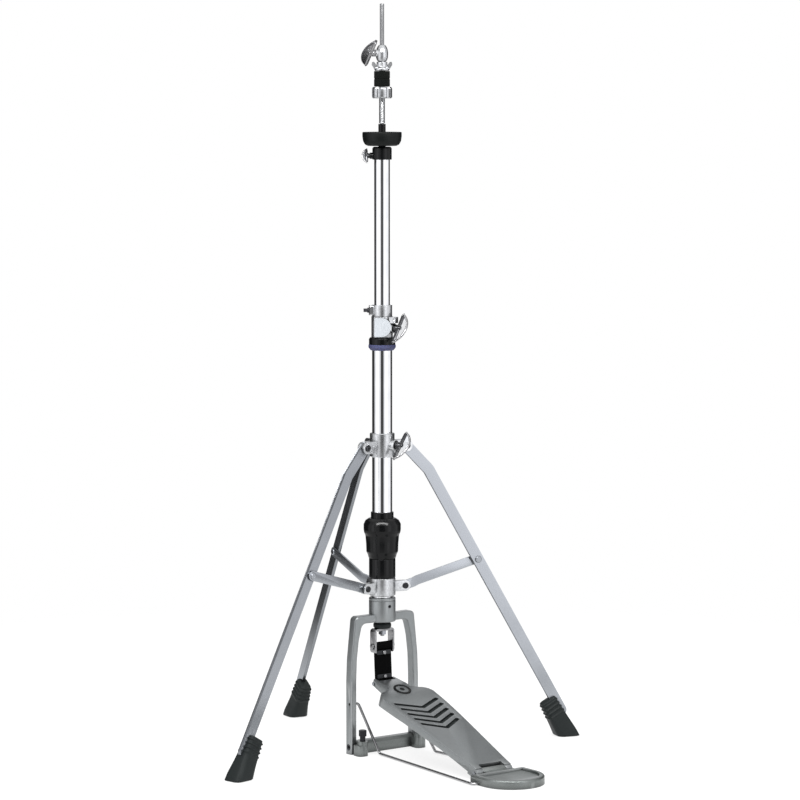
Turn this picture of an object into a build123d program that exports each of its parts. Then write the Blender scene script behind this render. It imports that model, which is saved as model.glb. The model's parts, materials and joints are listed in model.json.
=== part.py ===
from build123d import *
import os
from math import atan2, degrees, hypot

# Hi-hat stand with clutch, millimetres.
# +Z is up along the mast, the origin is on the mast's axis at floor level.
# The pedal points along -Y, the two posts of the base frame stand on the X axis.

# Mast
LOWER_TUBE_R = 14.3
LOWER_TUBE_BORE_R = 12.7
LOWER_TUBE_TOP_Z = 612.0
UPPER_TUBE_R = 11.1
UPPER_TUBE_BORE_R = 9.8
UPPER_TUBE_BOTTOM_Z = 500.0
UPPER_TUBE_TOP_Z = 853.0
ROD_R = 3.0
ROD_BOTTOM_Z = 164.0
ROD_JOIN_Z = 560.0
ROD_TOP_Z = 1059.0

# Fits
RUN = 0.1        # radial clearance of a turning or sliding fit
GAP = 0.3        # gap between faces of pieces that move past each other

# Height clamp and memory lock
CLAMP_TOP_Z = 620.3
CLAMP_BOTTOM_Z = 590.8
BAND_BOTTOM_Z = 580.6
FLANGE_BOTTOM_Z = 572.4
CLAMP_R = 15.2
BAND_R = 18.7
FLANGE_R = 19.3
CLAMP_BOLT_AZ = -72.0
CLAMP_BOLT_Z = 604.0
MEMORY_BOTTOM_Z = CLAMP_TOP_Z + GAP
MEMORY_TOP_Z = 636.5
MEMORY_R = 14.2
MEMORY_LUG_AZ = 150.0
MEMORY_LUG_R = 18.3
MEMORY_BOLT_Z = 629.0
PAD_AZ = -127.0          # flat D-shaped pad on the height clamp

# Cymbal seat
CAP_R = 13.7
CAP_BOTTOM_Z = 841.0
CAP_TOP_Z = 859.6
SLEEVE_R = 5.2
SLEEVE_BORE_R = 4.4
SLEEVE_TOP_Z = 891.0
SEAT_R = 27.7
SEAT_BOTTOM_Z = 860.1
SEAT_TOP_Z = 879.8
SEAT_BORE_R = 7.5
TILTER_AZ = 150.0
TILTER_Z = 846.5
TILT_AXIS_Z = 866.0
TRUNNION_R = 1.5

# Clutch
CLUTCH_TUBE_R = 4.3
CLUTCH_TUBE_BOTTOM_Z = 892.0
BOTTOM_NUT_Z = 926.7
FELT_BOTTOM_Z = 943.2
FELT_THICK = 10.9
LOCK_NUT_Z = 965.3
CLUTCH_BODY_Z = 978.0
CLUTCH_TOP_Z = 1001.3
CLUTCH_BODY_R = 8.6
NUT_R = 10.6
NUT_EAR_R = 14.4
LOCK_NUT_AZ = -37.0
FELT_R = 11.2
CLUTCH_BOLT_AZ = 172.0
CLUTCH_BOLT_Z = 990.0

# Tripod, in the plane of a leg: distance from the mast's axis and height
LEG_AZIMUTHS = {"right": -16.0, "back": 80.0, "left": 190.0}
LEG_TOP = (35.8, 436.0)
LEG_BEND = (70.6, 400.0)
LEG_END = (279.0, 38.0)
LEG_FOOT = (288.3, 0.0)
BRACE_OUTER = (147.0, 266.7)
BRACE_INNER = (34.0, 235.0)
LEG_WIDTH = 16.0
LEG_THICK = 5.0
BRACE_WIDTH = 13.5
BRACE_THICK = 2.5
LEG_RIVET_R = 3.0
BRACE_RIVET_R = 2.5
FOOT_LENGTH = 63.0
LEG_COLLAR_BOTTOM_Z = 421.0
LEG_COLLAR_TOP_Z = 455.0
LEG_COLLAR_R = 17.6
LEG_COLLAR_BOLT_AZ = -72.0
BRACE_COLLAR_BOTTOM_Z = 222.7
BRACE_COLLAR_TOP_Z = 248.2
BRACE_COLLAR_R = 18.85

# Tension adjuster
HOUSING_BOTTOM_Z = 248.5
HOUSING_STEP_Z = 276.0
HOUSING_TOP_Z = 342.4
HOUSING_R = 18.85
HOUSING_SLEEVE_R = 16.2
KNOB_BORE_R = 16.5
SPRING_BOTTOM_Z = 193.4
SPRING_TOP_Z = 321.0
SPRING_R = 8.6
SPRING_WIRE_R = 1.3
SPRING_TURNS = 15

# Base frame
HUB_R = 18.95
HUB_BOTTOM_Z = 185.5
HUB_TOP_Z = 219.9
HUB_FLOOR_Z = 192.0
ARM_TOP_Z = 196.6
ARM_BOTTOM_Z = 185.6
POST_DEPTH = 14.0
POST_OUTER_X = 60.0
POST_INNER_X = 50.4
CROSSBAR_TOP_Z = 18.0
SPUR_X = 50.0
SPUR_Y = -20.0
SPUR_R = 4.0
SET_SCREW_AZ = -93.0
SET_SCREW_Z = 208.4
FRAME_SCREW_Z = 10.0
ROD_HOOK_Y = -2.0
ROD_HOOK_Z = 72.0
WIRE_R = 2.0

# Pedal
HINGE_Y = -249.0
HINGE_Z = 9.0
HINGE_PIN_R = 3.0
BOARD_ANGLE = 20.5
BOARD_TOP_W = 8.4        # top face above the hinge axis, square to the board
BOARD_PLATE = 3.5
BOARD_WALL = 3.0
SLOT_WIDTH = 6.0
EMBLEM_V = 219.0         # emblem's centre from the hinge axis, along the board
TOE_PIN = (-3.0, 97.0)   # y and z
STIRRUP_PIN_Z = 150.0
LINK_PIN_R = 2.5
STRAP_EYE_R = 3.1        # lower eye, loose on the toe pin
STRAP_WIDTH = 28.0
STRAP_THICK = 4.5
STIRRUP_X = 17.2
STIRRUP_TOP_Z = 175.5
EAR_INNER_X = 20.0
EAR_OUTER_X = 31.0
HEEL_HALF_WIDTH = 46.0
HEEL_BACK_Y = -259.5
HEEL_FRONT_Y = -336.0
HEEL_HEIGHT = 12.0

os.makedirs("parts", exist_ok=True)


def save(node, *solids):
    """Write one node, made of one solid or of a group of separate solids."""
    shape = solids[0] if len(solids) == 1 else Compound(children=list(solids))
    export_step(shape, f"parts/{node}.step")


def shaft(radius, low, high):
    return Pos(0, 0, (low + high) / 2) * Cylinder(radius, high - low)


def pipe(outer, inner, low, high):
    return shaft(outer, low, high) - shaft(inner, low - 1, high + 1)


def cross_pin(radius, low, high):
    """Cylinder along X, from x = low to x = high."""
    return Pos((low + high) / 2, 0, 0) * Rot(0, 90, 0) * Cylinder(radius, high - low)


def turned(*points):
    """Solid of revolution about Z from an (r, z) outline."""
    return revolve(make_face(Plane.XZ * Polyline(*points, close=True)), Axis.Z)


def block(x, y, z):
    """Box between the (low, high) pairs x, y and z."""
    middle = Pos((x[0] + x[1]) / 2, (y[0] + y[1]) / 2, (z[0] + z[1]) / 2)
    return middle * Box(x[1] - x[0], y[1] - y[0], z[1] - z[0])


def strip(start, end, width):
    """Flat outline with round ends, between two centres."""
    span = hypot(end[0] - start[0], end[1] - start[1])
    angle = degrees(atan2(end[1] - start[1], end[0] - start[0]))
    middle = Pos((start[0] + end[0]) / 2, (start[1] + end[1]) / 2)
    return middle * Rot(0, 0, angle) * SlotCenterToCenter(span, width)


def lobe(start, start_r, end, end_r):
    """Flat tapered outline around two circles."""
    first = Pos(*start) * Circle(start_r)
    second = Pos(*end) * Circle(end_r)
    return make_hull(first.edges() + second.edges())


def plate_xz(outline, low, high):
    """Extrude an outline drawn in (x, z) from y = low to y = high."""
    return extrude(Plane.XZ.offset(-high) * outline, high - low)


def pivot_y(radius, at, low, high):
    """Cylinder along Y through the (x, z) point at."""
    return plate_xz(Pos(*at) * Circle(radius), low, high)


def wing_bolt(shank_r, shank, hub_r, hub, reach, span, thick):
    """Wing bolt along +X: the shank ends at x = 0, the hub and the D-shaped wing follow."""
    chord = hub * 0.6
    edges = [Line((chord, -span / 2), (chord, span / 2)),
             ThreePointArc((chord, span / 2), (reach, 0), (chord, -span / 2))]
    wing = make_face(Curve() + edges)
    wing = fillet(wing.vertices(), thick * 0.8)
    solid = plate_xz(wing, -thick / 2, thick / 2)
    solid = fillet(solid.edges().filter_by(Plane.XZ), thick * 0.3)
    return solid + cross_pin(hub_r, 0, hub) + cross_pin(shank_r, -shank, 1)


def placed(bolt, azimuth, radius, height, turn=0.0):
    return Rot(0, 0, azimuth) * Pos(radius, 0, height) * Rot(turn, 0, 0) * bolt


# ---------------------------------------------------------------- mast

def make_mast():
    save("lower_tube", pipe(LOWER_TUBE_R, LOWER_TUBE_BORE_R, HUB_FLOOR_Z, LOWER_TUBE_TOP_Z))
    save("upper_tube", pipe(UPPER_TUBE_R, UPPER_TUBE_BORE_R, UPPER_TUBE_BOTTOM_Z, UPPER_TUBE_TOP_Z))
    upper = shaft(ROD_R, ROD_JOIN_Z, ROD_TOP_Z)
    save("pull_rod_upper", chamfer(upper.edges().sort_by(Axis.Z)[-1], 1.2))
    socket = shaft(5.0, ROD_JOIN_Z - 25, ROD_JOIN_Z + 12)
    socket -= shaft(ROD_R, ROD_JOIN_Z, ROD_JOIN_Z + 13)
    save("pull_rod_lower", shaft(ROD_R, ROD_BOTTOM_Z, ROD_JOIN_Z) + socket)


def make_height_clamp():
    """Clamp around the joint of the two tubes, with its band, flange and wing bolt."""
    body = pipe(CLAMP_R, LOWER_TUBE_R, CLAMP_BOTTOM_Z, LOWER_TUBE_TOP_Z)
    body += pipe(CLAMP_R, UPPER_TUBE_R + RUN, LOWER_TUBE_TOP_Z, CLAMP_TOP_Z)
    boss = Pos(0, 0, CLAMP_BOLT_Z) * cross_pin(7.0, LOWER_TUBE_R + 0.1, 21.0)
    jaw = block((LOWER_TUBE_R + 0.1, 24.0), (-6.5, 6.5), (611.5, CLAMP_TOP_Z - 0.3))
    jaw = fillet(jaw.edges().filter_by(Axis.Z), 2.0)
    body += Rot(0, 0, CLAMP_BOLT_AZ) * (boss + jaw - shaft(LOWER_TUBE_R, 590, LOWER_TUBE_TOP_Z))
    middle = (CLAMP_BOTTOM_Z + CLAMP_TOP_Z) / 2
    pad = make_face(Curve() + [Line((-11.5, middle - 14), (0, middle - 14)),
                               ThreePointArc((0, middle - 14), (13.0, middle), (0, middle + 14)),
                               Line((0, middle + 14), (-11.5, middle + 14)),
                               Line((-11.5, middle + 14), (-11.5, middle - 14))])
    pad = Rot(0, 0, PAD_AZ + 90) * plate_xz(pad, -16.2, -10.0)
    body += pad - shaft(LOWER_TUBE_R + 0.1, 590, 622)
    body -= placed(cross_pin(3.0 + RUN, -6.2, 1), CLAMP_BOLT_AZ, 21.0, CLAMP_BOLT_Z)
    body -= Rot(0, 0, 108) * block((10.0, 20.0), (-0.8, 0.8), (LOWER_TUBE_TOP_Z, CLAMP_TOP_Z + 1))
    save("height_clamp", body)

    band = turned((LOWER_TUBE_R, BAND_BOTTOM_Z), (BAND_R, BAND_BOTTOM_Z), (BAND_R, CLAMP_BOTTOM_Z - 2.5),
                  (BAND_R - 2.0, CLAMP_BOTTOM_Z), (LOWER_TUBE_R, CLAMP_BOTTOM_Z))
    save("clamp_band", band)
    flange = turned((LOWER_TUBE_R, FLANGE_BOTTOM_Z), (FLANGE_R - 3.0, FLANGE_BOTTOM_Z),
                    (FLANGE_R, FLANGE_BOTTOM_Z + 4.0), (FLANGE_R, BAND_BOTTOM_Z - 1.0),
                    (FLANGE_R - 1.0, BAND_BOTTOM_Z), (LOWER_TUBE_R, BAND_BOTTOM_Z))
    save("clamp_flange", flange)
    bolt = wing_bolt(3.0, 5.5, 5.5, 9.0, 23.0, 50.0, 5.0)
    save("height_wing_bolt", placed(bolt, CLAMP_BOLT_AZ, 21.0 + GAP, CLAMP_BOLT_Z, -36))


def make_memory_lock():
    """Split ring on the upper tube, held by a square-headed key bolt."""
    ring = pipe(MEMORY_R, UPPER_TUBE_R, MEMORY_BOTTOM_Z, MEMORY_TOP_Z)
    lug = block((12.0, MEMORY_LUG_R), (-5.5, 5.5), (MEMORY_BOTTOM_Z + 1.4, MEMORY_TOP_Z - 0.5))
    lug = fillet(lug.edges().filter_by(Axis.X), 2.5)
    slit = block((-16.0, -10.0), (-0.9, 0.9), (MEMORY_BOTTOM_Z - 1, MEMORY_TOP_Z + 1))
    lock = ring + (lug - shaft(UPPER_TUBE_R, 600, 650)) - slit
    lock -= Pos(0, 0, MEMORY_BOLT_Z) * cross_pin(2.5 + RUN, 10.0, MEMORY_LUG_R + 1)
    save("memory_lock", Rot(0, 0, MEMORY_LUG_AZ) * lock)

    bolt = cross_pin(2.5, -6.0, 2.0) + cross_pin(3.6, 0, 2.4)
    bolt += block((2.4, 7.6), (-2.4, 2.4), (-2.4, 2.4))
    save("memory_bolt", placed(bolt, MEMORY_LUG_AZ, MEMORY_LUG_R + GAP, MEMORY_BOLT_Z))


# ---------------------------------------------------------------- cymbal seat

def make_seat():
    """Top cap, fixed sleeve, tilting seat cup and the screw that sets its tilt."""
    cap = turned((UPPER_TUBE_R, CAP_BOTTOM_Z), (CAP_R, CAP_BOTTOM_Z), (CAP_R, CAP_TOP_Z - 3.0),
                 (CAP_R - 2.5, CAP_TOP_Z - 0.4), (7.2, CAP_TOP_Z - 0.4), (7.2, UPPER_TUBE_TOP_Z),
                 (UPPER_TUBE_R, UPPER_TUBE_TOP_Z))
    boss = Pos(0, 0, TILTER_Z) * cross_pin(4.5, 12.0, 17.5)
    cap += Rot(0, 0, TILTER_AZ) * (boss - shaft(UPPER_TUBE_R + 0.5, 830, 870))
    cap -= placed(cross_pin(2.0 + RUN, -5.2, 1), TILTER_AZ, 17.5, TILTER_Z)
    save("top_cap", cap)

    sleeve = turned((SLEEVE_BORE_R, UPPER_TUBE_TOP_Z), (7.2, UPPER_TUBE_TOP_Z), (7.2, CAP_TOP_Z - 0.4),
                    (SLEEVE_R, CAP_TOP_Z - 0.4), (SLEEVE_R, SLEEVE_TOP_Z - 0.8),
                    (SLEEVE_R - 0.5, SLEEVE_TOP_Z), (SLEEVE_BORE_R, SLEEVE_TOP_Z))
    tilt_axis = Pos(0, 0, TILT_AXIS_Z) * Rot(0, 0, TILTER_AZ + 90)
    for side in (-1, 1):
        sleeve += tilt_axis * cross_pin(TRUNNION_R, *sorted((side * 4.8, side * 10.0)))
    save("seat_sleeve", sleeve)

    seat = turned((SEAT_BORE_R, SEAT_BOTTOM_Z), (13.0, SEAT_BOTTOM_Z), (13.0, SEAT_BOTTOM_Z + 5.0),
                  (17.5, SEAT_BOTTOM_Z + 5.0), (17.5, SEAT_BOTTOM_Z + 0.8), (20.0, SEAT_BOTTOM_Z),
                  (24.0, SEAT_BOTTOM_Z + 2.0), (26.8, SEAT_BOTTOM_Z + 7.0), (SEAT_R, SEAT_TOP_Z - 6.0),
                  (SEAT_R, SEAT_TOP_Z - 1.0), (SEAT_R - 1.0, SEAT_TOP_Z), (SEAT_R - 4.0, SEAT_TOP_Z),
                  (SEAT_R - 6.0, SEAT_TOP_Z - 2.0), (SEAT_BORE_R, SEAT_TOP_Z - 2.0))
    for side in (-1, 1):
        seat -= tilt_axis * cross_pin(TRUNNION_R + RUN / 2, *sorted((side * 6.0, side * 10.5)))
    save("seat_cup", seat)

    screw = wing_bolt(2.0, 4.5, 3.6, 5.0, 11.0, 22.0, 3.0)
    save("tilter_screw", placed(screw, TILTER_AZ, 17.5 + GAP, TILTER_Z, 20))


# ---------------------------------------------------------------- clutch

def nut_with_lobes(low, high, count, root_r, lobe_r, notch_r):
    """Round nut whose rim is cut by rounded notches down to root_r."""
    nut = shaft(lobe_r, low, high)
    notch = Pos(root_r + notch_r, 0, 0) * shaft(notch_r, low - 1, high + 1)
    for i in range(count):
        nut -= Rot(0, 0, 360 / count * (i + 0.5)) * notch
    return nut


def make_clutch():
    """Clutch that clamps the top cymbal to the pull rod."""
    low = CLUTCH_BODY_Z
    body = turned((0, low), (5.7, low), (7.3, low + 2.5), (8.4, low + 6), (CLUTCH_BODY_R, low + 13),
                  (7.6, low + 18), (6.2, low + 21), (4.4, CLUTCH_TOP_Z), (0, CLUTCH_TOP_Z))
    body += placed(cross_pin(5.0, -6.0, 0), CLUTCH_BOLT_AZ, 11.5, CLUTCH_BOLT_Z)
    body -= placed(cross_pin(3.0 + RUN, -6.5, 1), CLUTCH_BOLT_AZ, 11.5, CLUTCH_BOLT_Z)
    body -= Rot(0, 0, -127) * block((3.0, 12.0), (-0.8, 0.8), (CLUTCH_BODY_Z + 4, CLUTCH_TOP_Z + 1))
    body -= shaft(ROD_R + RUN, CLUTCH_BODY_Z - 1, CLUTCH_TOP_Z + 1)
    body -= shaft(CLUTCH_TUBE_R, CLUTCH_BODY_Z - 1, CLUTCH_BODY_Z + 4)
    save("clutch_body", body)
    bolt = wing_bolt(3.0, 5.8, 5.0, 8.0, 20.0, 48.0, 4.5)
    save("clutch_wing_bolt", placed(bolt, CLUTCH_BOLT_AZ, 11.5 + GAP, CLUTCH_BOLT_Z, -42))

    save("clutch_tube", pipe(CLUTCH_TUBE_R, ROD_R + RUN, CLUTCH_TUBE_BOTTOM_Z, CLUTCH_BODY_Z + 4))
    bore = shaft(CLUTCH_TUBE_R + RUN, BOTTOM_NUT_Z - 1, CLUTCH_BODY_Z)

    low = LOCK_NUT_Z
    top = CLUTCH_BODY_Z - GAP
    lock = turned((0, low), (NUT_R - 1.5, low), (NUT_R, low + 1.5), (NUT_R, low + 3.5),
                  (7.5, low + 5.5), (7.5, top), (0, top))
    horn = make_face(Polyline((5, low + 3), (NUT_R, low + 2), (NUT_EAR_R, low + 8), (NUT_EAR_R - 0.5, top),
                              (NUT_EAR_R - 3.5, top), (7, low + 7.5), (5, low + 7.5), close=True))
    horns = plate_xz(fillet(horn.vertices().sort_by(Axis.X)[-3:], 1.0), -2.5, 2.5)
    lock += horns + mirror(horns, about=Plane.YZ)
    save("lock_nut", Rot(0, 0, LOCK_NUT_AZ) * (lock - bore))

    bottom = nut_with_lobes(BOTTOM_NUT_Z, FELT_BOTTOM_Z - GAP, 6, NUT_R + 1.4, NUT_EAR_R, 4.5)
    rounded = turned((0, BOTTOM_NUT_Z), (NUT_EAR_R - 1.5, BOTTOM_NUT_Z), (NUT_EAR_R, BOTTOM_NUT_Z + 2),
                     (NUT_EAR_R, FELT_BOTTOM_Z - 3), (NUT_EAR_R - 1.5, FELT_BOTTOM_Z - GAP),
                     (0, FELT_BOTTOM_Z - GAP))
    save("bottom_nut", (bottom & rounded) - bore)

    felts = []
    for low in (FELT_BOTTOM_Z, FELT_BOTTOM_Z + FELT_THICK):
        felt = pipe(FELT_R, CLUTCH_TUBE_R, low, low + FELT_THICK)
        felts.append(fillet(felt.edges().filter_by(GeomType.CIRCLE).sort_by(SortBy.RADIUS)[-2:], 1.2))
    save("clutch_felts", *felts)


# ---------------------------------------------------------------- tripod

def make_legs():
    """Bent flat bar, moulded foot and brace for each of the three directions."""
    half = LEG_THICK / 2
    bar = strip(LEG_TOP, LEG_BEND, LEG_WIDTH) + strip(LEG_BEND, LEG_END, LEG_WIDTH)
    bar -= Pos(*LEG_TOP) * Circle(LEG_RIVET_R + RUN / 2)
    leg = plate_xz(bar, -half, half)
    leg = chamfer(leg.edges().filter_by(Plane.XZ), 0.7)

    angle = degrees(atan2(LEG_END[0] - LEG_BEND[0], LEG_BEND[1] - LEG_END[1]))
    axis = Pos(LEG_FOOT[0], 0, LEG_FOOT[1]) * Rot(0, -angle, 0)
    top = Plane.XY.offset(FOOT_LENGTH) * RectangleRounded(25.0, 17.0, 5.0)
    waist = Plane.XY.offset(FOOT_LENGTH * 0.4) * RectangleRounded(28.0, 24.0, 7.0)
    sole = Plane.XY.offset(-16.0) * RectangleRounded(30.0, 33.0, 9.0)
    boot = loft([sole, waist, top], ruled=True)
    for i in range(3):
        rib = RectangleRounded(26.8 + i * 0.4, 19.6 + i * 1.9, 5.5)
        boot += extrude(Plane.XY.offset(FOOT_LENGTH - 7 - 7 * i) * rib, 3.0)
    boot = axis * boot & block((200, 350), (-50, 50), (0, 200))
    boot -= leg

    drop = degrees(atan2(BRACE_OUTER[1] - BRACE_INNER[1], BRACE_OUTER[0] - BRACE_INNER[0]))
    length = hypot(BRACE_OUTER[0] - BRACE_INNER[0], BRACE_OUTER[1] - BRACE_INNER[1])
    outline = strip((0, 0), (length, 0), BRACE_WIDTH)
    outline -= Circle(BRACE_RIVET_R + RUN / 2)
    near = -BRACE_THICK / 2
    far = half + 0.4
    cranked = Polyline((-10, near), (14, near), (22, far), (length + 10, far),
                       (length + 10, far + BRACE_THICK), (21.2, far + BRACE_THICK),
                       (13.2, near + BRACE_THICK), (-10, near + BRACE_THICK), close=True)
    flat = extrude(Plane.XY * make_face(cranked), 20, both=True)
    brace = plate_xz(outline, -12, 12) & flat
    brace = Pos(BRACE_INNER[0], 0, BRACE_INNER[1]) * Rot(0, -drop, 0) * brace

    head = pivot_y(4.6, BRACE_OUTER, far + BRACE_THICK - 0.1, far + BRACE_THICK + 1.8)
    brace += fillet(head.edges().filter_by(GeomType.CIRCLE).sort_by(Axis.Y)[-1], 1.2)
    tail = pivot_y(5.0, BRACE_OUTER, -half - 1.6, -half)
    tail = fillet(tail.edges().filter_by(GeomType.CIRCLE).sort_by(Axis.Y)[0], 1.2)
    for name, azimuth in LEG_AZIMUTHS.items():
        turn = Rot(0, 0, azimuth)
        save(f"leg_{name}", turn * leg)
        save(f"foot_{name}", turn * boot)
        save(f"brace_{name}", turn * brace)
        save(f"leg_rivet_{name}", turn * tail)


def ears_at(pivot, inner_r, gap_half, thick, radius):
    """Pair of lugs in the XZ plane, from inner_r out to a round end at the pivot."""
    outline = strip((inner_r, pivot[1]), pivot, 2 * radius)
    outline -= Pos(inner_r - 25, pivot[1]) * Rectangle(50, 60)
    return [plate_xz(outline, gap_half, gap_half + thick), plate_xz(outline, -gap_half - thick, -gap_half)]


def make_collars():
    """Sliding leg collar and turning brace collar, with their pivots."""
    collar = shaft(LEG_COLLAR_R, LEG_COLLAR_BOTTOM_Z, LEG_COLLAR_TOP_Z)
    collar = chamfer(collar.edges().filter_by(GeomType.CIRCLE), 1.2)
    lower = shaft(BRACE_COLLAR_R, BRACE_COLLAR_BOTTOM_Z, BRACE_COLLAR_TOP_Z)
    lower = chamfer(lower.edges().filter_by(GeomType.CIRCLE), 1.0)
    leg_rivets = []
    brace_rivets = []
    leg_gap = LEG_THICK / 2 + GAP
    brace_gap = BRACE_THICK / 2 + GAP
    for azimuth in LEG_AZIMUTHS.values():
        turn = Rot(0, 0, azimuth)
        for ear in ears_at(LEG_TOP, 14.6, leg_gap, 3.2, 8.5):
            collar += turn * ear
        for ear in ears_at(BRACE_INNER, 14.6, brace_gap, 3.0, 7.5):
            lower += turn * ear
        leg_rivets.append(turn * riveted(LEG_TOP, LEG_RIVET_R, leg_gap + 3.2))
        brace_rivets.append(turn * riveted(BRACE_INNER, BRACE_RIVET_R, brace_gap + 3.0))
    boss = placed(cross_pin(7.5, -8.0, 0), LEG_COLLAR_BOLT_AZ, 24.0, 438)
    collar = collar + boss - shaft(LOWER_TUBE_R + RUN, 400, 480)
    collar -= placed(cross_pin(3.0 + RUN, -8.5, 1), LEG_COLLAR_BOLT_AZ, 24.0, 438)
    for rivet in leg_rivets:
        collar -= rivet
    lower -= shaft(LOWER_TUBE_R + RUN, 200, 260)
    for rivet in brace_rivets:
        lower -= rivet
    save("leg_collar", collar)
    save("brace_collar", lower)
    save("leg_pivot_rivets", *leg_rivets)
    save("brace_pivot_rivets", *brace_rivets)
    bolt = wing_bolt(3.0, 7.8, 5.5, 9.0, 22.0, 50.0, 5.0)
    save("leg_wing_bolt", placed(bolt, LEG_COLLAR_BOLT_AZ, 24.0 + GAP, 438, -43))


def riveted(at, radius, half_length):
    """Rivet along Y through a pair of lugs, with a domed head on each side."""
    rivet = pivot_y(radius, at, -half_length - 1.8, half_length + 1.8)
    for side in (-1, 1):
        low, high = sorted((side * half_length, side * (half_length + 1.8)))
        rivet += pivot_y(radius + 1.8, at, low, high)
    ends = rivet.edges().filter_by(GeomType.CIRCLE).sort_by(Axis.Y)
    return fillet([ends[0], ends[-1]], 1.2)


# ---------------------------------------------------------------- tension adjuster

def make_adjuster():
    """Spring housing on the lower tube, the fluted knob on it and the spring inside."""
    housing = turned((LOWER_TUBE_R, HOUSING_BOTTOM_Z), (HOUSING_R - 0.8, HOUSING_BOTTOM_Z),
                     (HOUSING_R, HOUSING_BOTTOM_Z + 0.8), (HOUSING_R, HOUSING_STEP_Z),
                     (HOUSING_SLEEVE_R, HOUSING_STEP_Z), (HOUSING_SLEEVE_R, HOUSING_TOP_Z - 1.5),
                     (HOUSING_SLEEVE_R - 1.2, HOUSING_TOP_Z), (LOWER_TUBE_R, HOUSING_TOP_Z))
    save("spring_housing", housing)

    low = HOUSING_STEP_Z + GAP
    knob = turned((KNOB_BORE_R, low), (19.2, low), (20.6, 281.5), (22.6, 285.5), (23.0, 297.0),
                  (23.6, 309.0), (25.4, 312.5), (26.5, 317.0), (26.5, 325.0), (25.4, 329.5),
                  (22.0, 332.8), (18.6, 333.8), (KNOB_BORE_R, 333.8))
    groove = turned((24.8, 323.2), (27.0, 320.0), (27.0, 324.6), (24.8, 324.0))
    save("tension_knob", knob - groove)

    height = SPRING_TOP_Z - SPRING_BOTTOM_Z - 2 * SPRING_WIRE_R
    coil = Helix(height / SPRING_TURNS, height, SPRING_R)
    wire = sweep(Plane(origin=coil @ 0, z_dir=coil % 0) * Circle(SPRING_WIRE_R), path=coil)
    save("tension_spring", Pos(0, 0, SPRING_BOTTOM_Z + SPRING_WIRE_R) * wire)


# ---------------------------------------------------------------- base frame

def post_outline():
    """Outline of one arm and its bowed post in (x, z), from the hub's axis outwards."""
    shoulder = (52.0, ARM_TOP_Z)
    armpit = (40.0, ARM_BOTTOM_Z)
    bow = [(55.5, 165.0), (58.8, 135.0), (POST_OUTER_X, 105.0),
           (POST_INNER_X, 105.0), (49.3, 135.0), (46.0, 162.0)]
    outline = make_face(Polyline((0, ARM_TOP_Z), shoulder, *bow[:3], (POST_OUTER_X, 0), (POST_INNER_X, 0),
                                 *bow[3:], armpit, (0, ARM_BOTTOM_Z), close=True))
    for corners, radius in (([shoulder], 7.0), ([armpit], 9.0), (bow, 60.0)):
        picked = [outline.vertices().sort_by_distance((x, z, 0))[0] for x, z in corners]
        outline = fillet(picked, radius)
    return outline


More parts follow.
